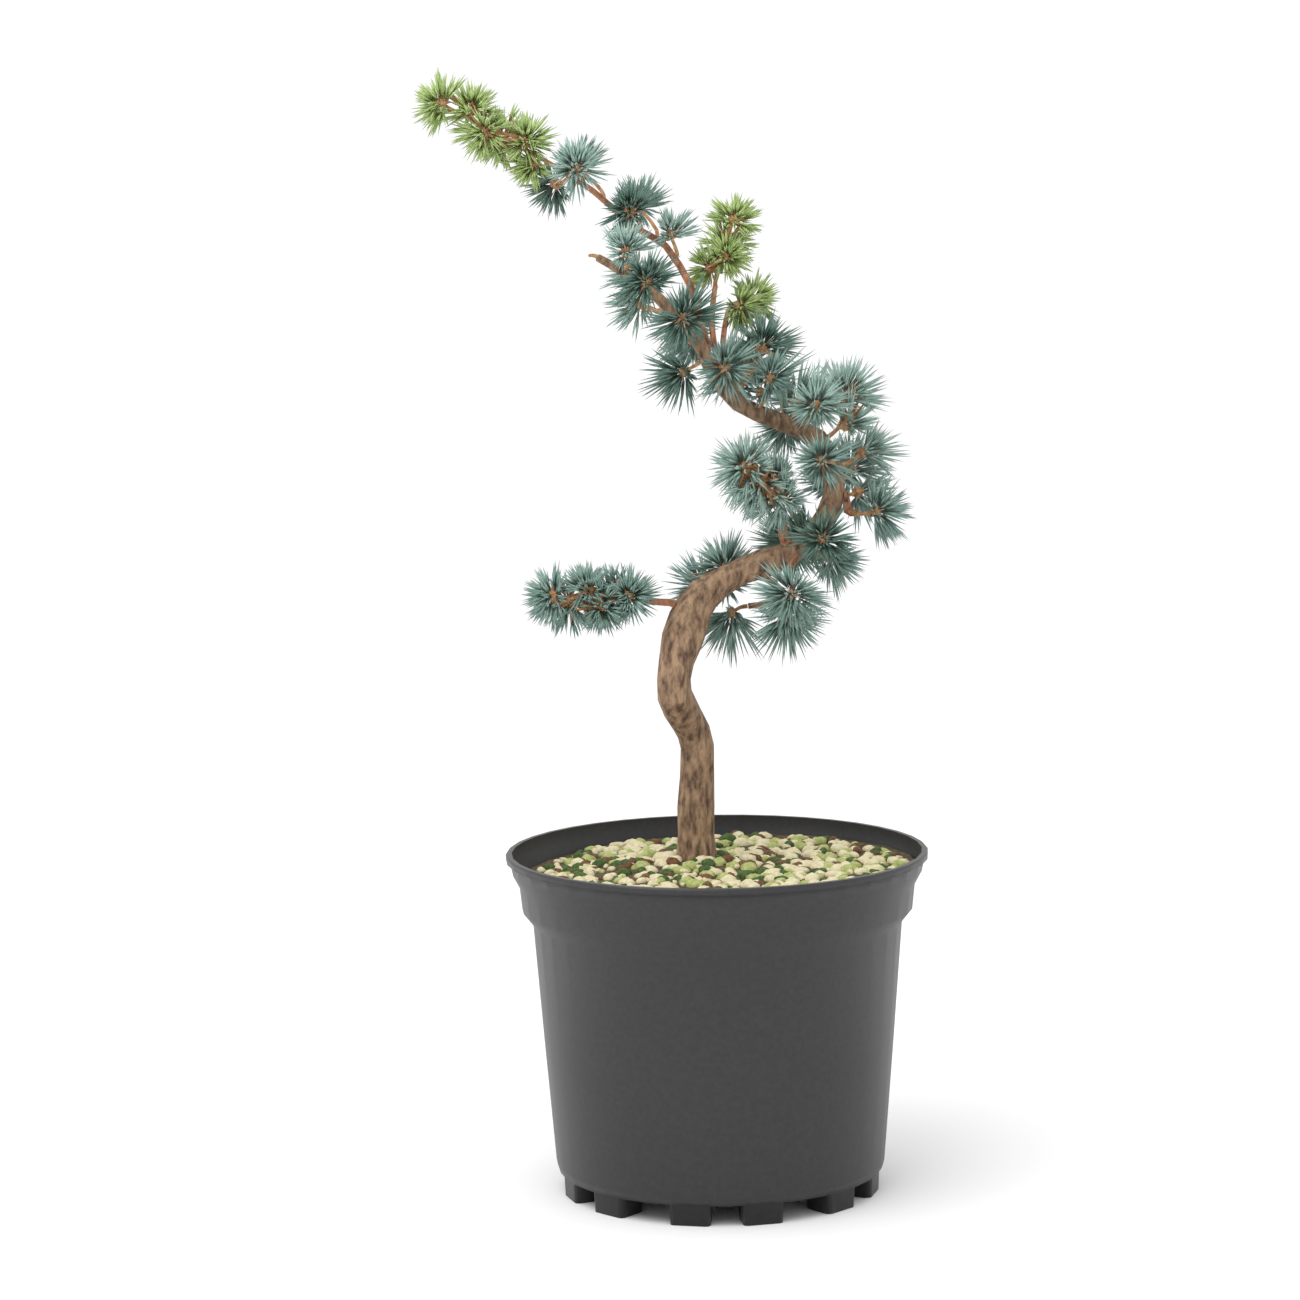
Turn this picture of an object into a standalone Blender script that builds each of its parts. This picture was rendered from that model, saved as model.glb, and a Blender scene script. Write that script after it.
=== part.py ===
# Potted blue atlas cedar: a young, wire-trained conifer about half a metre tall in a
# round black nursery pot. Metres, +Z up, the plant's front faces -Y. The pot stands on the
# floor at z = 0, and the origin is under the middle of the whole plant's bounding box.

import math
import random

import bmesh
import bpy
from mathutils import Matrix, Quaternion, Vector
from mathutils.bvhtree import BVHTree

MM = 0.001
GAP = 0.3 * MM                 # clear space between two pieces that touch in life
GOLDEN_ANGLE = math.radians(137.508)
SEED = 20

# Pot: a three-litre moulded container, 190 mm across the rim
POT_HEIGHT = 154.4 * MM
RIM_RADIUS = 95.0 * MM
WALL = 1.4 * MM
LIP_WIDTH = 2.7 * MM
WALL_FOOT_HEIGHT = 9.5 * MM
BASE_THICKNESS = 1.8 * MM
POT_SIDES = 40
# radius and depth below the rim down the outside of the wall, in millimetres
WALL_OUTSIDE = (
    (94.4, 0.0), (95.0, 0.6), (95.0, 2.9), (93.4, 3.2), (92.4, 8.2), (89.2, 14.2),
    (88.0, 25.5), (83.3, 31.4), (78.7, 91.0), (74.6, 141.0), (73.4, 144.9),
)
COLLAR_FOOT = 5                # number of the outside point where the collar's slope ends
INNER_LEDGE_DEPTH = 7.0 * MM
INNER_CORNER_WIDTH = 1.6 * MM
INNER_CORNER_HEIGHT = 1.2 * MM
WALL_FOOT_BEVEL = 2.2 * MM
FOOT_PAIRS = 6
FIRST_PAIR_ANGLE = math.radians(-89.0)
FOOT_FROM_NOTCH = math.radians(5.5)
FOOT_TO_GAP = math.radians(21.0)
FOOT_OUTER_RADIUS = 72.4 * MM
FOOT_INNER_RADIUS = 56.0 * MM
FOOT_CORNER = 2.2 * MM
FOOT_DRAFT = 0.95
FOOT_IN_WALL = 0.9 * MM        # how far a foot runs up into the base
FOOT_CORNER_STEPS = 2
DRAIN_LENGTH = 10.0 * MM
DRAIN_WIDTH = 6.0 * MM
DRAIN_RADIUS = 64.0 * MM
DRAIN_CUT = 12.0 * MM          # height of the cutter, more than the base is thick

# Soil: fills the pot, a little higher to the right and round the trunk
SOIL_DEPTH_BELOW_RIM = 10.0 * MM
SOIL_TILT = 2.2 * MM
SOIL_TILT_REACH = 80.0 * MM
SOIL_TILT_WAY = (0.9, 0.4)
SOIL_MOUND = 2.6 * MM
SOIL_ROUGHNESS = 0.5 * MM
SOIL_WAVES = (7.0 * MM, 9.0 * MM)
MOUND_WIDTH = 24.0 * MM
SOIL_SIDES = 24
SOIL_RINGS = 4
SOIL_WALL_CLEARANCE = 0.8 * MM
TRUNK_SEAT_RADIUS = 12.0 * MM

# Trunk: x, y, z of its centre line in millimetres, from the soil to its pruned tip
TRUNK_LINE = (
    (-9, 12, 148.6), (-9, 12, 172), (-8, 11, 200), (-12, 6, 212), (-18, -6, 226),
    (-17, -6, 241), (-11, 0, 259), (-4, 3, 270), (13, 4, 280), (32, 1, 287), (46, -1, 297),
    (54, 4, 312), (54, 8, 324), (48, 13, 338), (31, 12, 346), (12, 6, 355), (1, 3, 369),
    (-5, 3, 382), (-24, -3, 404), (-39, -8, 415), (-49, -12, 421),
)
TRUNK_FOOT_RADIUS = 8.5 * MM
TRUNK_TIP_RADIUS = 1.7 * MM
TRUNK_TAPER = 0.9
# share of the trunk's length, extra radius in millimetres, half width of the swelling
TRUNK_SWELLINGS = (
    (0.000, 1.0, 0.015), (0.066, 0.5, 0.012), (0.215, 0.9, 0.035), (0.310, 3.2, 0.040),
    (0.360, 0.9, 0.020), (0.437, 1.0, 0.016),
)
TRUNK_SIDES = 10
TRUNK_STEPS = 2

# Boughs: name, the limb that each one springs from, the share of that limb's length,
# radius at the root and at the tip, then the points that it runs through, in millimetres
BOUGHS = (
    ("leader_bough", "trunk", 0.825, 2.0, 1.3,
     ((-5, 12, 395), (-8, 16, 407), (-19, 18, 425), (-32, 17, 433), (-51, 12, 450), (-68, 8, 461))),
    ("upright_bough", "trunk", 0.795, 1.6, 1.2, ((1, 14, 390), (3, 22, 407))),
    ("right_upper_bough", "trunk", 0.775, 1.6, 1.2, ((6, 14, 382), (8, 22, 393))),
    ("left_low_bough", "trunk", 0.330, 1.9, 1.5, ((-22, -2, 267), (-32, -4, 268))),
    ("left_mid_bough", "trunk", 0.478, 2.3, 1.8, ((31, -7, 298), (31, -10, 308))),
    ("hanging_bough", "trunk", 0.425, 1.9, 1.4, ((28, 15, 273), (26, 21, 264), (16, 22, 262))),
    ("right_low_bough", "trunk", 0.565, 2.2, 1.7, ((60, 0, 307), (64, -3, 306))),
    ("low_front_bough", "trunk", 0.480, 1.7, 1.4, ((33, -14, 281), (34, -21, 277))),
)
BOUGH_SIDES = 5
BOUGH_STEPS = 2
BOUGH_COLLAR = 1.5 * MM

# Sprays: name, the limb that carries it, the share of that limb's length, the place of its
# furthest bud, its number of rosettes, and the length of its needles, in millimetres
SPRAYS = (
    ("spray_leader_end", "leader_bough", 1.00, (-117, -2, 489), 6, 16),
    ("spray_leader_front", "leader_bough", 0.88, (-58, -4, 460), 1, 17),
    ("spray_leader_under", "leader_bough", 0.93, (-68, 19, 453), 1, 17),
    ("spray_leader_middle", "leader_bough", 0.58, (-35, 6, 441), 1, 18),
    ("spray_leader_low", "leader_bough", 0.40, (-17, 12, 430), 1, 16),
    ("spray_leader_back", "leader_bough", 0.76, (-58, 28, 460), 1, 17),
    ("spray_leader_low_back", "leader_bough", 0.50, (-31, 36, 442), 1, 18),
    ("spray_tip_end", "trunk", 1.00, (-53, -14, 422), 1, 17),
    ("spray_tip_top", "trunk", 0.965, (-37, -18, 424), 1, 17),
    ("spray_tip_front", "trunk", 0.925, (-28, -28, 411), 1, 20),
    ("spray_tip_under", "trunk", 0.895, (-31, 9, 400), 1, 19),
    ("spray_tip_back", "trunk", 0.935, (-31, 22, 413), 1, 19),
    ("spray_crown_front", "trunk", 0.865, (-12, -30, 395), 1, 24),
    ("spray_crown_left", "trunk", 0.815, (-12, -10, 370), 1, 23),
    ("spray_crown_middle", "trunk", 0.780, (6, -20, 373), 1, 24),
    ("spray_crown_right", "trunk", 0.760, (23, 2, 380), 2, 24),
    ("spray_crown_low_right", "trunk", 0.725, (26, -8, 367), 2, 24),
    ("spray_crown_back", "trunk", 0.840, (-10, 40, 390), 2, 21),
    ("spray_crown_low_back", "trunk", 0.745, (14, 44, 368), 2, 22),
    ("spray_upright", "upright_bough", 1.00, (12, 28, 436), 4, 14),
    ("spray_right_upper", "right_upper_bough", 1.00, (20, 34, 400), 2, 15),
    ("spray_bend_front", "trunk", 0.665, (46, -14, 355), 1, 22),
    ("spray_bend_top", "trunk", 0.635, (60, 18, 357), 2, 23),
    ("spray_bend_back", "trunk", 0.670, (40, 50, 352), 2, 22),
    ("spray_right_upper_side", "trunk", 0.600, (68, 14, 332), 1, 22),
    ("spray_right_back", "trunk", 0.590, (64, 44, 322), 2, 22),
    ("spray_right_front", "trunk", 0.585, (48, -22, 331), 1, 22),
    ("spray_right_low", "right_low_bough", 1.00, (73, -5, 307), 1, 21),
    ("spray_right_low_top", "trunk", 0.570, (66, 14, 314), 1, 21),
    ("spray_left_mid", "left_mid_bough", 1.00, (14, -22, 329), 4, 21),
    ("spray_low_right", "trunk", 0.515, (48, -26, 297), 1, 22),
    ("spray_low_side", "trunk", 0.500, (52, -12, 287), 1, 21),
    ("spray_low_front", "low_front_bough", 1.00, (34, -31, 273), 1, 22),
    ("spray_low_under", "hanging_bough", 0.55, (33, 6, 259), 1, 24),
    ("spray_low_back", "trunk", 0.485, (36, 40, 288), 2, 22),
    ("spray_hanging", "hanging_bough", 1.00, (8, 21, 259), 1, 27),
    ("spray_behind_trunk", "trunk", 0.395, (-4, 26, 270), 3, 20),
    ("spray_left_low", "left_low_bough", 1.00, (-72, -14, 272), 6, 16),
)
STEM_RADIUS = 1.2 * MM
STEM_TIP_RADIUS = 0.8 * MM
SPUR_LENGTH = 4.5 * MM
SPUR_RADIUS = 0.9 * MM
SPUR_FORWARD_LEAN = 0.45       # how far a spur points along its stem, beside one part outwards
FIRST_SPUR = 0.55              # place of the first spur, in spur spacings from the shoulder
SHOULDER_LENGTH = 2.0 * MM
SHOULDER_SHARE = 0.3
KNEE_SHARE = 0.45
SKELETON_STEP = 2.0 * MM
BEAD_STEP = 1.5 * MM
# rosette: distance ahead of its centre and radius of the bud's rings, in millimetres, from
# the back to the front, and how far the needles of each band lean away from its axis
BUD_SIDES = 6
BUD_RINGS = ((-2.4, 2.3), (-0.4, 2.5), (1.5, 1.7))
BUD_TIP = 2.4 * MM
NEEDLE_LEANS = (92, 60, 22)
LEAN_SPREAD = 9
NEEDLE_LIMB_CLEARANCE = 1.3 * MM
BUD_LIMB_CLEARANCE = 3.0 * MM
# share of a needle's length, and how much nearer its own stem must be there, in millimetres
NEEDLE_ROOM = ((0.2, 2.4), (0.35, 2.2), (0.5, 1.8), (0.75, 1.2), (1.0, 0.8))
SHORTER_NEEDLES = (1.0, 0.84, 0.7, 0.58, 0.46)


def clear_scene():
    """Remove every object that the scene starts with."""
    for item in list(bpy.data.objects):
        bpy.data.objects.remove(item, do_unlink=True)


def plain_material(name, colour, roughness):
    """A Principled material of one linear colour."""
    material = bpy.data.materials.new(name)
    material.use_nodes = True
    shader = material.node_tree.nodes["Principled BSDF"]
    shader.inputs["Base Color"].default_value = (*colour, 1.0)
    shader.inputs["Roughness"].default_value = roughness
    material.diffuse_color = (*colour, 1.0)
    return material


def pot_plastic():
    return plain_material("moulded_black_polypropylene", (0.018, 0.018, 0.020), 0.45)


def potting_grit():
    return plain_material("cream_potting_grit", (0.52, 0.47, 0.30), 0.95)


def old_bark():
    return plain_material("grey_brown_bark", (0.27, 0.18, 0.11), 0.85)


def young_bark():
    return plain_material("tan_young_bark", (0.38, 0.20, 0.11), 0.80)


def blue_needles():
    return plain_material("blue_green_needles", (0.16, 0.25, 0.20), 0.55)


def object_from(name, shape, material):
    """Put a finished bmesh into the scene as a named object."""
    mesh = bpy.data.meshes.new(name)
    shape.to_mesh(mesh)
    shape.free()
    mesh.materials.append(material)
    item = bpy.data.objects.new(name, mesh)
    bpy.context.scene.collection.objects.link(item)
    return item


def apply_modifiers(item):
    """Keep what the modifiers make as the object's own mesh."""
    graph = bpy.context.evaluated_depsgraph_get()
    made = bpy.data.meshes.new_from_object(item.evaluated_get(graph))
    item.modifiers.clear()
    item.data = made


def combine(item, others, operation):
    """One Boolean over a collection, applied; the collection's objects are then removed."""
    tools = bpy.data.collections.new(item.name + "_tools")
    bpy.context.scene.collection.children.link(tools)
    for other in others:
        bpy.context.scene.collection.objects.unlink(other)
        tools.objects.link(other)
    boolean = item.modifiers.new(operation.lower(), "BOOLEAN")
    boolean.operand_type = "COLLECTION"
    boolean.collection = tools
    boolean.operation = operation
    boolean.solver = "EXACT"
    apply_modifiers(item)
    for other in list(tools.objects):
        bpy.data.objects.remove(other, do_unlink=True)
    bpy.data.collections.remove(tools)


def drop_scraps(item):
    """Keep only the largest connected body of a mesh."""
    shape = bmesh.new()
    shape.from_mesh(item.data)
    waiting = set(shape.verts)
    bodies = []
    while waiting:
        start = waiting.pop()
        body = {start}
        edge_of_body = [start]
        while edge_of_body:
            vertex = edge_of_body.pop()
            for edge in vertex.link_edges:
                other = edge.other_vert(vertex)
                if other in waiting:
                    waiting.remove(other)
                    body.add(other)
                    edge_of_body.append(other)
        bodies.append(body)
    keep = max(bodies, key=len)
    scraps = [vertex for vertex in shape.verts if vertex not in keep]
    bmesh.ops.delete(shape, geom=scraps, context="VERTS")
    shape.to_mesh(item.data)
    shape.free()


def shade_round(item, angle=math.radians(40)):
    """Smooth shading with the true edges left sharp."""
    item.data.shade_smooth()
    item.data.set_sharp_from_angle(angle=angle)


def smooth_line(points, steps):
    """Points read off a smooth curve that passes through every given point."""
    first = points[0] * 2 - points[1]
    last = points[-1] * 2 - points[-2]
    chain = [first, *points, last]
    line = []
    for a, b, c, d in zip(chain, chain[1:], chain[2:], chain[3:]):
        for step in range(steps):
            t = step / steps
            line.append(0.5 * (2 * b + (c - a) * t + (2 * a - 5 * b + 4 * c - d) * t * t
                               + (3 * b - a - 3 * c + d) * t * t * t))
    line.append(points[-1])
    return line


def lengths_along(line):
    """Share of the whole length at each point of a line."""
    total = 0.0
    shares = [0.0]
    for a, b in zip(line, line[1:]):
        total += (b - a).length
        shares.append(total)
    return [share / total for share in shares]


def tube(line, radii, sides, root_normal=None):
    """A closed tube along a line, with flat ends; its first two rings can face a given way."""
    shape = bmesh.new()
    rings = []
    across = None
    for i, centre in enumerate(line):
        ahead = line[min(i + 1, len(line) - 1)]
        behind = line[max(i - 1, 0)]
        forward = (ahead - behind).normalized()
        if i < 2 and root_normal is not None:
            forward = root_normal
        if across is None:
            across = forward.orthogonal().normalized()
        across = (across - forward * across.dot(forward)).normalized()
        up = forward.cross(across)
        ring = []
        for side in range(sides):
            angle = math.tau * side / sides
            offset = across * math.cos(angle) + up * math.sin(angle)
            ring.append(shape.verts.new(centre + offset * radii[i]))
        rings.append(ring)
    for low, high in zip(rings, rings[1:]):
        for side in range(sides):
            after = (side + 1) % sides
            shape.faces.new((low[side], low[after], high[after], high[side]))
    shape.faces.new(list(reversed(rings[0])))
    shape.faces.new(rings[-1])
    return shape


class Limb:
    """A trunk or bough: its centre line, its radii and a tree of its faces to stand things on."""

    def __init__(self, line, radii, item):
        self.line = line
        self.radii = radii
        self.shares = lengths_along(line)
        shape = bmesh.new()
        shape.from_mesh(item.data)
        self.faces = BVHTree.FromBMesh(shape)
        shape.free()

    def at(self, share):
        """Centre, direction and radius at a share of the limb's length."""
        for i in range(1, len(self.line)):
            if self.shares[i] >= share - 1e-9:
                break
        span = self.shares[i] - self.shares[i - 1]
        t = (share - self.shares[i - 1]) / span
        centre = self.line[i - 1].lerp(self.line[i], t)
        direction = (self.line[i] - self.line[i - 1]).normalized()
        radius = self.radii[i - 1] + (self.radii[i] - self.radii[i - 1]) * t
        return centre, direction, radius

    def beads(self):
        """Centres and radii of balls spread closely along the limb."""
        beads = []
        for i in range(1, len(self.line)):
            count = max(1, math.ceil((self.line[i] - self.line[i - 1]).length / BEAD_STEP))
            for step in range(count + 1):
                t = step / count
                radius = self.radii[i - 1] * (1 - t) + self.radii[i] * t
                beads.append((self.line[i - 1].lerp(self.line[i], t), radius))
        return beads

    def seat(self, share, towards):
        """Where a stem stands on this limb, just clear of it, and the way it sets out."""
        centre, direction, radius = self.at(share)
        if share >= 1.0:
            return centre + direction * GAP, direction
        outward = towards - centre
        outward = (outward - direction * outward.dot(direction)).normalized()
        start = centre + outward * (radius + 3 * MM)
        place, normal, _, _ = self.faces.ray_cast(start, -outward)
        return place + normal * GAP, normal


def wall_profile():
    """The wall's section as one closed outline of (radius, height), down the outside first."""
    outside = [(r * MM, POT_HEIGHT - depth * MM) for r, depth in WALL_OUTSIDE]
    inside = [(RIM_RADIUS - LIP_WIDTH, POT_HEIGHT), (RIM_RADIUS - LIP_WIDTH, POT_HEIGHT - INNER_LEDGE_DEPTH)]
    inside += [(r - WALL, z) for r, z in outside[COLLAR_FOOT:-1]]
    floor_top = WALL_FOOT_HEIGHT + BASE_THICKNESS
    corner = outside[-1][0] - WALL
    inside += [(corner, floor_top + INNER_CORNER_HEIGHT), (corner - INNER_CORNER_WIDTH, floor_top),
               (0.0, floor_top)]
    underside = [(0.0, WALL_FOOT_HEIGHT)]
    return outside, inside, underside


def turn(outline, sides):
    """Spin an outline of (radius, height) round the Z axis into a closed body."""
    shape = bmesh.new()
    verts = [shape.verts.new((r, 0.0, z)) for r, z in outline]
    edges = [shape.edges.new(pair) for pair in zip(verts, verts[1:])]
    bmesh.ops.spin(shape, geom=verts + edges, cent=(0, 0, 0), axis=(0, 0, 1),
                   angle=math.tau, steps=sides, use_merge=True)
    bmesh.ops.remove_doubles(shape, verts=shape.verts, dist=0.01 * MM)
    bmesh.ops.recalc_face_normals(shape, faces=shape.faces)
    return shape


def foot(start, end, material):
    """One moulded foot: a wedge of a ring with rounded corners, narrower at the floor."""
    outline = []
    for radius, first, last, sign in ((FOOT_OUTER_RADIUS, start, end, 1),
                                      (FOOT_INNER_RADIUS, end, start, -1)):
        inset = FOOT_CORNER / radius
        for at_angle, turned in ((first, 1), (last, -1)):
            for step in range(FOOT_CORNER_STEPS + 1):
                t = step / FOOT_CORNER_STEPS if turned == 1 else 1 - step / FOOT_CORNER_STEPS
                pull = 1 - math.sin(t * math.pi / 2)
                along = at_angle + turned * sign * inset * (1 - math.cos(t * math.pi / 2))
                outline.append((radius - sign * FOOT_CORNER * pull, along))
    middle = (start + end) / 2
    centre = Vector((math.cos(middle), math.sin(middle), 0)) * (FOOT_OUTER_RADIUS + FOOT_INNER_RADIUS) / 2
    shape = bmesh.new()
    rings = []
    for height, size in ((0.0, FOOT_DRAFT), (WALL_FOOT_HEIGHT + FOOT_IN_WALL, 1.0)):
        ring = []
        for radius, angle in outline:
            point = Vector((radius * math.cos(angle), radius * math.sin(angle), 0))
            point = centre + (point - centre) * size
            ring.append(shape.verts.new((point.x, point.y, height)))
        rings.append(ring)
    count = len(outline)
    for i in range(count):
        after = (i + 1) % count
        shape.faces.new((rings[0][i], rings[0][after], rings[1][after], rings[1][i]))
    shape.faces.new(list(reversed(rings[0])))
    shape.faces.new(rings[1])
    bmesh.ops.recalc_face_normals(shape, faces=shape.faces)
    return object_from("foot", shape, material)


def drain(angle, material):
    """A cutter for one drain slot through the base, between two feet."""
    shape = bmesh.new()
    bmesh.ops.create_cube(shape, size=1.0)
    size = Matrix.Diagonal((DRAIN_LENGTH, DRAIN_WIDTH, DRAIN_CUT, 1.0))
    place = Matrix.Translation((DRAIN_RADIUS, 0, WALL_FOOT_HEIGHT + BASE_THICKNESS / 2))
    shape.transform(Matrix.Rotation(angle, 4, "Z") @ place @ size)
    return object_from("drain", shape, material)


def make_pot():
    """The pot: a turned wall and base, twelve feet in six pairs, six drain slots."""
    plastic = pot_plastic()
    outside, inside, underside = wall_profile()
    outline = list(reversed(inside)) + outside
    outline.append((outside[-1][0] - WALL_FOOT_BEVEL, WALL_FOOT_HEIGHT))
    outline += underside
    pot = object_from("pot", turn(outline, POT_SIDES), plastic)
    feet = []
    drains = []
    for pair in range(FOOT_PAIRS):
        middle = FIRST_PAIR_ANGLE + math.tau * pair / FOOT_PAIRS
        feet.append(foot(middle + FOOT_FROM_NOTCH, middle + FOOT_TO_GAP, plastic))
        feet.append(foot(middle - FOOT_TO_GAP, middle - FOOT_FROM_NOTCH, plastic))
        drains.append(drain(middle, plastic))
    combine(pot, feet, "UNION")
    combine(pot, drains, "DIFFERENCE")
    shade_round(pot, math.radians(25))
    return pot


def soil_height(x, y):
    """Height of the soil's surface at a place in the pot."""
    trunk = Vector(TRUNK_LINE[0]) * MM
    level = POT_HEIGHT - SOIL_DEPTH_BELOW_RIM
    slope = SOIL_TILT * (x * SOIL_TILT_WAY[0] + y * SOIL_TILT_WAY[1]) / SOIL_TILT_REACH
    distance = math.hypot(x - trunk.x, y - trunk.y)
    mound = SOIL_MOUND * math.exp(-(distance / MOUND_WIDTH) ** 2)
    rough = SOIL_ROUGHNESS * math.sin(x / SOIL_WAVES[0] + 1.3) * math.sin(y / SOIL_WAVES[1] + 0.4)
    return level + slope + mound + rough


def make_soil(inside):
    """The soil: a plug a little smaller than the pot's inside, with a flat seat for the trunk."""
    shape = bmesh.new()
    trunk = Vector(TRUNK_LINE[0]) * MM
    seat_height = trunk.z - GAP
    brim_low, brim_high = inside[2], inside[1]
    rings = []
    for ring_number in range(SOIL_RINGS + 1):
        t = ring_number / SOIL_RINGS
        ring = []
        for side in range(SOIL_SIDES):
            angle = math.tau * side / SOIL_SIDES
            way = Vector((math.cos(angle), math.sin(angle)))
            brim_height = soil_height(*(way * brim_low[0]))
            climb = (brim_height - brim_low[1]) / (brim_high[1] - brim_low[1])
            brim = brim_low[0] + (brim_high[0] - brim_low[0]) * climb - SOIL_WALL_CLEARANCE
            x, y = trunk.xy * (1 - t) + way * (TRUNK_SEAT_RADIUS * (1 - t) + brim * t)
            z = seat_height if ring_number == 0 else soil_height(x, y)
            if ring_number == SOIL_RINGS:
                z = brim_height
            ring.append(shape.verts.new((x, y, z)))
        rings.append(ring)
    floor_top = inside[-1][1]
    for r, z in inside[2:-1]:
        lift = GAP if z < floor_top + INNER_CORNER_HEIGHT * 1.5 else 0.0
        ring = []
        for side in range(SOIL_SIDES):
            angle = math.tau * side / SOIL_SIDES
            reach = r - SOIL_WALL_CLEARANCE
            ring.append(shape.verts.new((reach * math.cos(angle), reach * math.sin(angle), z + lift)))
        rings.append(ring)
    for outer, inner in zip(rings[1:], rings):
        for side in range(SOIL_SIDES):
            after = (side + 1) % SOIL_SIDES
            shape.faces.new((inner[side], outer[side], outer[after], inner[after]))
    shape.faces.new(rings[0])
    shape.faces.new(list(reversed(rings[-1])))
    bmesh.ops.recalc_face_normals(shape, faces=shape.faces)
    soil = object_from("soil", shape, potting_grit())
    shade_round(soil)
    return soil


def trunk_radius(share):
    """Radius of the trunk at a share of its length: an even taper with its swellings."""
    taper = TRUNK_TIP_RADIUS + (TRUNK_FOOT_RADIUS - TRUNK_TIP_RADIUS) * (1 - share) ** TRUNK_TAPER
    for place, extra, half_width in TRUNK_SWELLINGS:
        taper += extra * MM * math.exp(-((share - place) / half_width) ** 2)
    return taper


def make_trunk():
    """The trunk: one tapering, twice-bent stem from a flat cut at the soil to its pruned tip."""
    stations = [Vector(point) * MM for point in TRUNK_LINE]
    line = smooth_line(stations, TRUNK_STEPS)
    radii = [trunk_radius(share) for share in lengths_along(line)]
    trunk = object_from("trunk", tube(line, radii, TRUNK_SIDES, Vector((0, 0, 1))), old_bark())
    shade_round(trunk)
    return trunk, Limb(line, radii, trunk)


def make_bough(row, limbs, bark):
    """One tapering limb that stands on another and ends where it enters its needles."""
    name, host, share, root_radius, tip_radius, points = row
    points = [Vector(point) * MM for point in points]
    root, normal = limbs[host].seat(share, points[0])
    collar = root + normal * BOUGH_COLLAR
    line = [root, *smooth_line([collar, *points], BOUGH_STEPS)]
    radii = [(root_radius + (tip_radius - root_radius) * t) * MM for t in lengths_along(line)]
    bough = object_from(name, tube(line, radii, BOUGH_SIDES, normal), bark)
    shade_round(bough)
    limbs[name] = Limb(line, radii, bough)
    return bough


class Spray:
    """The skeleton of one spray: a stem, and the rosettes that it carries."""

    def __init__(self, row, limbs, chance):
        self.name, host, share, bud, count, length = row
        self.length = length * MM
        bud = Vector(bud) * MM
        root, normal = limbs[host].seat(share, bud)
        self.normal = normal
        reach = (bud - root).length
        shoulder = root + normal * min(SHOULDER_LENGTH, reach * SHOULDER_SHARE)
        knee = root + normal * reach * KNEE_SHARE
        bend = [shoulder]
        steps = 2 + count
        for step in range(1, steps + 1):
            t = step / steps
            bend.append(shoulder * (1 - t) ** 2 + knee * 2 * t * (1 - t) + bud * t * t)
        self.stem = [root, *bend]
        self.rosettes = []
        turn_angle = chance.uniform(0, math.tau)
        for i in range(count - 1):
            t = (i + FIRST_SPUR) / count
            place = shoulder * (1 - t) ** 2 + knee * 2 * t * (1 - t) + bud * t * t
            forward = (bud - shoulder).normalized()
            across = forward.orthogonal().normalized()
            across.rotate(Quaternion(forward, turn_angle + GOLDEN_ANGLE * i))
            axis = (across + forward * SPUR_FORWARD_LEAN).normalized()
            self.rosettes.append((place, place + axis * SPUR_LENGTH, axis))
        axis = (self.stem[-1] - self.stem[-2]).normalized()
        self.rosettes.append((bud, bud, axis))

    def skeleton(self):
        """Points spread over the stem and spurs, by which the spray's own space is known."""
        points = []
        for a, b in zip(self.stem, self.stem[1:]):
            count = max(1, int((b - a).length / SKELETON_STEP))
            points += [a.lerp(b, i / count) for i in range(count)]
        for place, tip, axis in self.rosettes:
            points += [place.lerp(tip, 0.5), tip, tip + axis * SKELETON_STEP]
        return points


def is_free(place, room, owner, spaces, solids):
    """True where a point lies in its spray's own space and clear of every limb."""
    for centre, radius in solids:
        if (place - centre).length < radius + NEEDLE_LIMB_CLEARANCE:
            return False
    own = min((place - point).length for point in spaces[owner])
    for name, points in spaces.items():
        if name == owner:
            continue
        nearest = min((place - point).length for point in points)
        if nearest - own < room:
            return False
    return True


def bud_mesh(centre, axis, chance):
    """A rosette's bud: rings of faces with a band number on each, turned by chance."""
    shape = bmesh.new()
    across = axis.orthogonal().normalized()
    across.rotate(Quaternion(axis, chance.uniform(0, math.tau)))
    up = axis.cross(across)
    rings = []
    for number, (ahead, radius) in enumerate(BUD_RINGS):
        ring = []
        for side in range(BUD_SIDES):
            angle = math.tau * (side + number / 2) / BUD_SIDES
            offset = across * math.cos(angle) + up * math.sin(angle)
            ring.append(shape.verts.new(centre + axis * ahead * MM + offset * radius * MM))
        rings.append(ring)
    tip = shape.verts.new(centre + axis * BUD_TIP)
    shape.faces.new(list(reversed(rings[0])))
    bands = [[] for _ in NEEDLE_LEANS]
    for side in range(BUD_SIDES):
        after = (side + 1) % BUD_SIDES
        for band, (low, high) in enumerate(zip(rings, rings[1:])):
            bands[band].append(shape.faces.new((low[side], low[after], high[side])))
            bands[band].append(shape.faces.new((low[after], high[after], high[side])))
        bands[-1].append(shape.faces.new((rings[-1][side], rings[-1][after], tip)))
    return shape, bands


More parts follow.
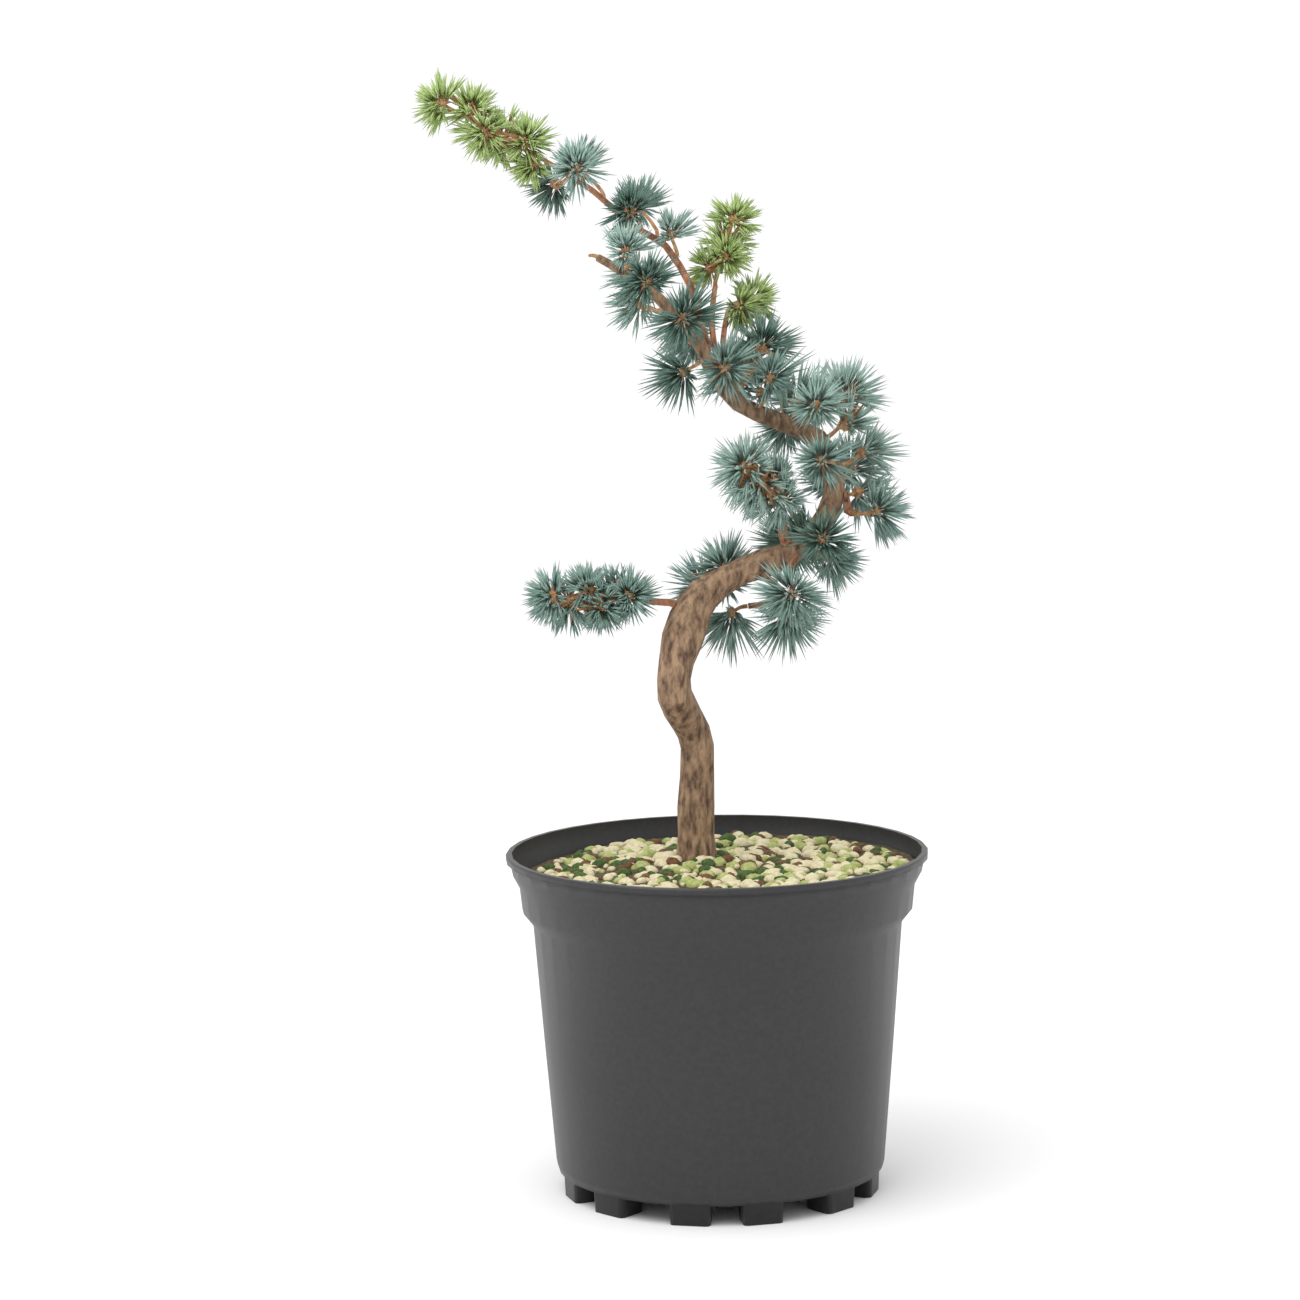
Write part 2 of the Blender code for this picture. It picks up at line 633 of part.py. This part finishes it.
def grow_rosette(centre, axis, length, has_room, chance):
    """A bud with a three-sided needle drawn out of each face that has room for one."""
    shape, bands = bud_mesh(centre, axis, chance)
    for band, lean in zip(bands, NEEDLE_LEANS):
        for face in band:
            root = face.calc_center_median()
            outward = face.normal - axis * face.normal.dot(axis)
            outward.normalize()
            tilt = math.radians(lean + chance.uniform(-LEAN_SPREAD, LEAN_SPREAD))
            direction = axis * math.cos(tilt) + outward * math.sin(tilt)
            full = length * (0.7 + 0.3 * math.sin(tilt)) * chance.uniform(0.86, 1.04)
            fitting = [part for part in SHORTER_NEEDLES if has_room(root, direction * full * part)]
            if not fitting:
                continue
            poked = bmesh.ops.poke(shape, faces=[face])
            poked["verts"][0].co = root + direction * full * fitting[0]
    bmesh.ops.recalc_face_normals(shape, faces=shape.faces)
    return shape


def make_spray(spray, spaces, solids, material, chance):
    """One spray as a single solid: stem, spurs and needles fused."""
    count = len(spray.stem)
    radii = [STEM_RADIUS + (STEM_TIP_RADIUS - STEM_RADIUS) * i / (count - 1) for i in range(count)]
    body = object_from(spray.name, tube(spray.stem, radii, 3, spray.normal), material)
    pieces = []

    def has_room(root, needle):
        return all(is_free(root + needle * t, room * MM, spray.name, spaces, solids)
                   for t, room in NEEDLE_ROOM)

    for place, tip, axis in spray.rosettes:
        if any((tip - centre).length < radius + BUD_LIMB_CLEARANCE for centre, radius in solids):
            continue
        if tip != place:
            twig = tube([place, tip], [SPUR_RADIUS, SPUR_RADIUS], 3)
            pieces.append(object_from("twig", twig, material))
        rosette = grow_rosette(tip, axis, spray.length, has_room, chance)
        pieces.append(object_from("rosette", rosette, material))
    combine(body, pieces, "UNION")
    drop_scraps(body)
    return body


def settle_origin(items):
    """Move every mesh so that the origin lies under the middle of the whole box."""
    corners = [vertex.co for item in items for vertex in item.data.vertices]
    middle_x = (min(c.x for c in corners) + max(c.x for c in corners)) / 2
    middle_y = (min(c.y for c in corners) + max(c.y for c in corners)) / 2
    shift = Matrix.Translation((-middle_x, -middle_y, 0.0))
    for item in items:
        item.data.transform(shift)


def build():
    clear_scene()
    chance = random.Random(SEED)
    items = [make_pot()]
    _, inside, _ = wall_profile()
    items.append(make_soil(inside))
    trunk, trunk_limb = make_trunk()
    items.append(trunk)
    limbs = {"trunk": trunk_limb}
    bark = young_bark()
    for row in BOUGHS:
        items.append(make_bough(row, limbs, bark))
    sprays = [Spray(row, limbs, chance) for row in SPRAYS]
    spaces = {spray.name: spray.skeleton() for spray in sprays}
    solids = [bead for limb in limbs.values() for bead in limb.beads()]
    green = blue_needles()
    for spray in sprays:
        items.append(make_spray(spray, spaces, solids, green, chance))
    settle_origin(items)


build()
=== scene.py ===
import math
import random

import bmesh
import bpy
from mathutils import Matrix, Quaternion, Vector


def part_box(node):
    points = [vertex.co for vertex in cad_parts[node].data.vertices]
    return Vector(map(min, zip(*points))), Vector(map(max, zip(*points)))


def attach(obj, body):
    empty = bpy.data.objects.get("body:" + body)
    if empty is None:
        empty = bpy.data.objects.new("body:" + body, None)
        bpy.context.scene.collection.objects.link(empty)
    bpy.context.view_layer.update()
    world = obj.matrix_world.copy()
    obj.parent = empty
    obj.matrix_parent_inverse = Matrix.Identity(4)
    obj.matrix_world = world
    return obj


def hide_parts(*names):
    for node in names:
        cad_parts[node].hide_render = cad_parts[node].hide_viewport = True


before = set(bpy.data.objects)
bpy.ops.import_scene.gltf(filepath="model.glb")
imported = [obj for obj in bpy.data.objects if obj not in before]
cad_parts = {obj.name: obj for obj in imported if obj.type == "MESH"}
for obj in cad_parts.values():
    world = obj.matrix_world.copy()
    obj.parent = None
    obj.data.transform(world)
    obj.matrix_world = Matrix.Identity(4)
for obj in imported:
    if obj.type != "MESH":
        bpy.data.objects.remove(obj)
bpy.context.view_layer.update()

MM = 0.001
chance = random.Random(7)

# The pot is moulded black polypropylene, satin with a very faint unevenness. Its mesh is the
# packed one with doubled corners merged, so that the turned wall shades round while the lip, the
# collar and the feet keep their edges.
MERGE_DISTANCE = 0.001 * MM
ROUND_BELOW = math.radians(24)
DARK_UP_TO = 0.35              # share of the noise's range that is all dark
LIGHT_FROM = 0.65


def linear(code):
    """Linear colour of an sRGB hex code."""
    parts = [int(code[i:i + 2], 16) / 255 for i in (0, 2, 4)]
    parts = [p / 12.92 if p <= 0.04045 else ((p + 0.055) / 1.055) ** 2.4 for p in parts]
    return (*parts, 1.0)


def add_node(tree, kind, **values):
    """A shader node with its named inputs set."""
    node = tree.nodes.new(kind)
    for name, value in values.items():
        node.inputs[name].default_value = value
    return node


def mottled(name, dark, light, cell, roughness, relief, stretch=(1, 1, 1)):
    """A Principled material: noise between two colours, and a bump of the given depth."""
    material = bpy.data.materials.new(name)
    material.use_nodes = True
    tree = material.node_tree
    shader = tree.nodes["Principled BSDF"]
    shader.inputs["Roughness"].default_value = roughness
    place = add_node(tree, "ShaderNodeTexCoord")
    scale = add_node(tree, "ShaderNodeMapping", Scale=tuple(s / cell for s in stretch))
    noise = add_node(tree, "ShaderNodeTexNoise", Scale=1.0, Detail=5.0, Roughness=0.6)
    ramp = add_node(tree, "ShaderNodeValToRGB")
    first, last = ramp.color_ramp.elements
    first.position = DARK_UP_TO
    last.position = LIGHT_FROM
    first.color = linear(dark)
    last.color = linear(light)
    bump = add_node(tree, "ShaderNodeBump", Strength=1.0, Distance=relief)
    tree.links.new(place.outputs["Object"], scale.inputs["Vector"])
    tree.links.new(scale.outputs["Vector"], noise.inputs["Vector"])
    tree.links.new(noise.outputs["Fac"], ramp.inputs["Fac"])
    tree.links.new(ramp.outputs["Color"], shader.inputs["Base Color"])
    tree.links.new(noise.outputs["Fac"], bump.inputs["Height"])
    tree.links.new(bump.outputs["Normal"], shader.inputs["Normal"])
    return material


def merged_copy(node):
    """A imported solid's shape as a bmesh of its own, with doubled corners merged."""
    shape = bmesh.new()
    shape.from_mesh(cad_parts[node].data)
    bmesh.ops.remove_doubles(shape, verts=shape.verts, dist=MERGE_DISTANCE)
    return shape


def object_from(shape, name, material):
    """Put a finished bmesh into the scene as a named object."""
    mesh = bpy.data.meshes.new(name)
    shape.to_mesh(mesh)
    shape.free()
    mesh.materials.append(material)
    item = bpy.data.objects.new(name, mesh)
    bpy.context.scene.collection.objects.link(item)
    return item


pot_plastic = mottled("moulded_black_polypropylene", "1d1d1f", "252527", 2.5 * MM, 0.42, 0.02 * MM)
pot = object_from(merged_copy("pot"), "moulded_pot", pot_plastic)
pot.data.shade_smooth()
pot.data.set_sharp_from_angle(angle=ROUND_BELOW)
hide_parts("pot")
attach(pot, "root")

# The soil is a dark moist potting mix. Cream and tinted pumice, moss clumps and bark bits lie on
# it, about 4 to 9 mm long. Each kind is one joined mesh of squashed round stones, half sunk into
# the soil's surface.
PEBBLE_KINDS = (
    ("cream_pumice", "c9bd93", "e0d8b8", 520),
    ("tinted_pumice", "8f9a50", "b9bd80", 200),
    ("dark_moss_clump", "2f3f1c", "4f6a30", 170),
    ("brown_bark_bit", "4a3020", "7a5638", 150),
)
PEBBLE_HALF_LENGTH = (1.8, 4.6)  # in millimetres
PEBBLE_WIDTH = (0.6, 1)          # shares of its half length
PEBBLE_HEIGHT = (0.5, 0.8)
PEBBLE_TIP = 0.6                 # in radians
PEBBLE_ROUGHNESS = (0.88, 1.08)
ROOM_AT_WALL = 6 * MM
ABOVE_SOIL = 0.3


def dress(node, material):
    """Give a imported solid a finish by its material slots."""
    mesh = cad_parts[node].data
    mesh.materials.clear()
    mesh.materials.append(material)


def add_pebble(stones, surface):
    """One squashed, tipped and roughened round stone at a place on the soil."""
    size = chance.uniform(*PEBBLE_HALF_LENGTH) * MM
    width = size * chance.uniform(*PEBBLE_WIDTH)
    height = size * chance.uniform(*PEBBLE_HEIGHT)
    squash = Matrix.Diagonal((size, width, height, 1))
    spin = Matrix.Rotation(chance.uniform(0, math.tau), 4, "Z")
    tip = Matrix.Rotation(chance.uniform(-PEBBLE_TIP, PEBBLE_TIP), 4, "X")
    turned = Matrix.Translation(surface) @ spin @ tip @ squash
    grown = bmesh.ops.create_icosphere(stones, subdivisions=2, radius=1.0, matrix=turned)
    for vertex in grown["verts"]:
        vertex.co = surface + (vertex.co - surface) * chance.uniform(*PEBBLE_ROUGHNESS)


dress("soil", mottled("moist_potting_mix", "2e2519", "6e5f40", 3 * MM, 0.95, 0.8 * MM))
soil_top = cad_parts["soil"]
pot_low, pot_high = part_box("pot")
soil_low, soil_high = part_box("soil")
axis_x = (pot_low[0] + pot_high[0]) / 2
axis_y = (pot_low[1] + pot_high[1]) / 2
soil_radius = (soil_high[0] - soil_low[0]) / 2 - ROOM_AT_WALL
for kind, dark, light, count in PEBBLE_KINDS:
    stones = bmesh.new()
    for _ in range(count):
        reach = soil_radius * math.sqrt(chance.random())
        angle = chance.uniform(0, math.tau)
        x = axis_x + reach * math.cos(angle)
        y = axis_y + reach * math.sin(angle)
        hit, surface, _, _ = soil_top.ray_cast(Vector((x, y, ABOVE_SOIL)), Vector((0, 0, -1)))
        if hit:
            add_pebble(stones, surface)
    stone = mottled(kind, dark, light, 2 * MM, 0.9, 0.3 * MM)
    pebbles = object_from(stones, kind, stone)
    pebbles.data.shade_smooth()
    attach(pebbles, "root")

# The trunk's bark is grey brown and mottled lengthwise; the boughs are younger and redder.
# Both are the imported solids, so their relief is only in the finish.
OLD_BARK_STRETCH = (1, 1, 0.35)
YOUNG_BARK_STRETCH = (1, 1, 0.5)
old_bark = mottled("grey_brown_bark", "4e382a", "a88a6c", 3 * MM, 0.85, 1.4 * MM, OLD_BARK_STRETCH)
young_bark = mottled("tan_young_bark", "6e4630", "be8764", 3 * MM, 0.8, 0.4 * MM, YOUNG_BARK_STRETCH)
dress("trunk", old_bark)
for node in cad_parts:
    if node.endswith("_bough"):
        dress(node, young_bark)

# Each spray is one stem with its buds. The solid's thick needles are drawn back into the buds,
# and in the place of each stand several thin ones, 1.2 mm across, on the same root.
NEEDLES_FOR_ONE = 7
NEEDLE_RADIUS = 0.6 * MM
NEEDLE_SPREAD = 0.42
NEEDLE_LENGTHS = (0.72, 1.0)     # shares of the thick needle's length
POINTED = 0.85                   # least cosine between the edges that meet at a needle's tip
SHORTEST_NEEDLE = 2.5 * MM
STUB = 0.3 * MM
YOUNG_SPRAYS = ("spray_leader_end", "spray_upright", "spray_right_upper")


def draw_back_needles(core):
    """Pull every needle's tip back to its root; the roots and tips as they were."""
    drawn = []
    for vertex in core.verts:
        near = [edge.other_vert(vertex).co for edge in vertex.link_edges]
        root = sum(near, Vector()) / len(near)
        ways = [(place - vertex.co).normalized() for place in near]
        pointed = min(a.dot(b) for a in ways for b in ways) > POINTED
        if pointed and min((place - vertex.co).length for place in near) > SHORTEST_NEEDLE:
            drawn.append((root, vertex.co.copy()))
            vertex.co = root + (vertex.co - root).normalized() * STUB
    return drawn


def add_needle(needles, root, tip):
    """One thin spindle of six faces that sets out from root, roughly towards tip."""
    way = tip - root
    length = way.length * chance.uniform(*NEEDLE_LENGTHS)
    way.normalize()
    across = way.orthogonal().normalized()
    across.rotate(Quaternion(way, chance.uniform(0, math.tau)))
    side = way.cross(across)
    way = (way + across * chance.uniform(0, NEEDLE_SPREAD)).normalized()
    middle = root + way * length * 0.5
    ends = [needles.verts.new(root), needles.verts.new(root + way * length)]
    ring = []
    for angle in (0, math.tau / 3, 2 * math.tau / 3):
        outward = across * math.cos(angle) + side * math.sin(angle)
        ring.append(needles.verts.new(middle + outward * NEEDLE_RADIUS))
    for i in range(3):
        after = (i + 1) % 3
        needles.faces.new((ends[0], ring[after], ring[i]))
        needles.faces.new((ends[1], ring[i], ring[after]))


twig_bark = mottled("bud_and_twig", "96684a", "c9a070", 2 * MM, 0.8, 0.2 * MM)
shades = [
    mottled("waxy_blue_needles", "6f8f86", "93aea2", 6 * MM, 0.55, 0.02 * MM),
    mottled("deep_green_needles", "4c6b60", "6f8d7e", 6 * MM, 0.55, 0.02 * MM),
    mottled("pale_blue_needles", "86a49a", "a9c2b6", 6 * MM, 0.55, 0.02 * MM),
]
fresh = mottled("fresh_green_needles", "94ae62", "bccf8c", 6 * MM, 0.55, 0.02 * MM)
for node in [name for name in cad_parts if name.startswith("spray_")]:
    core = merged_copy(node)
    thick_needles = draw_back_needles(core)
    bmesh.ops.recalc_face_normals(core, faces=core.faces)
    stem = object_from(core, node + "_stem", twig_bark)
    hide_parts(node)
    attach(stem, "root")
    if not thick_needles:
        continue
    needles = bmesh.new()
    for root, tip in thick_needles:
        for _ in range(NEEDLES_FOR_ONE):
            add_needle(needles, root, tip)
    green = fresh if node in YOUNG_SPRAYS else chance.choice(shades)
    foliage = object_from(needles, node + "_needles", green)
    foliage.data.shade_smooth()
    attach(foliage, "root")

# A plain pale floor, a bright white room and one large soft lamp overhead, to the front left.
FLOOR_SIZE = 12
ROOM_BRIGHTNESS = 1.05
LAMP_POWER = 10
LAMP_SIZE = 1.2
LAMP_PLACE = Vector((-0.5, -0.6, 1.3))
LAMP_AIM = Vector((0, 0, 0.25))
bpy.ops.mesh.primitive_plane_add(size=FLOOR_SIZE, location=(0, 0, 0))
floor = bpy.context.object
floor.name = "pale_floor"
floor.data.materials.append(mottled("pale_floor_paint", "fcfbfc", "fdfcfd", 0.5, 0.9, 0.0))
world = bpy.data.worlds.new("white_room")
world.use_nodes = True
background = world.node_tree.nodes["Background"]
background.inputs["Color"].default_value = (1, 1, 1, 1)
background.inputs["Strength"].default_value = ROOM_BRIGHTNESS
bpy.context.scene.world = world
lamp = bpy.data.lights.new("overhead_softbox", "AREA")
lamp.energy = LAMP_POWER
lamp.size = LAMP_SIZE
lamp_object = bpy.data.objects.new("overhead_softbox", lamp)
lamp_object.location = LAMP_PLACE
lamp_object.rotation_euler = (LAMP_AIM - LAMP_PLACE).to_track_quat("-Z", "Y").to_euler()
bpy.context.scene.collection.objects.link(lamp_object)

# The camera stands 1.8 m in front of the pot and looks slightly down, as in the photo. Its place
# is in metres from the pot's axis at the floor, its turns are in radians.
CAMERA_PLACE = (-0.0286984, -1.8, 0.478547)
CAMERA_TILT = 0.1287221
CAMERA_ROLL = -0.0149871
SENSOR = 36.0
LENS = 112.4
camera = bpy.data.cameras.new("camera")
camera.lens = LENS
camera.sensor_width = SENSOR
camera_object = bpy.data.objects.new("camera", camera)
camera_object.matrix_world = (
    Matrix.Translation((axis_x, axis_y, 0)) @ Matrix.Translation(CAMERA_PLACE)
    @ Matrix.Rotation(math.pi / 2 - CAMERA_TILT, 4, "X") @ Matrix.Rotation(CAMERA_ROLL, 4, "Z"))
bpy.context.scene.collection.objects.link(camera_object)
bpy.context.scene.camera = camera_object
bpy.context.scene.view_settings.view_transform = "Standard"
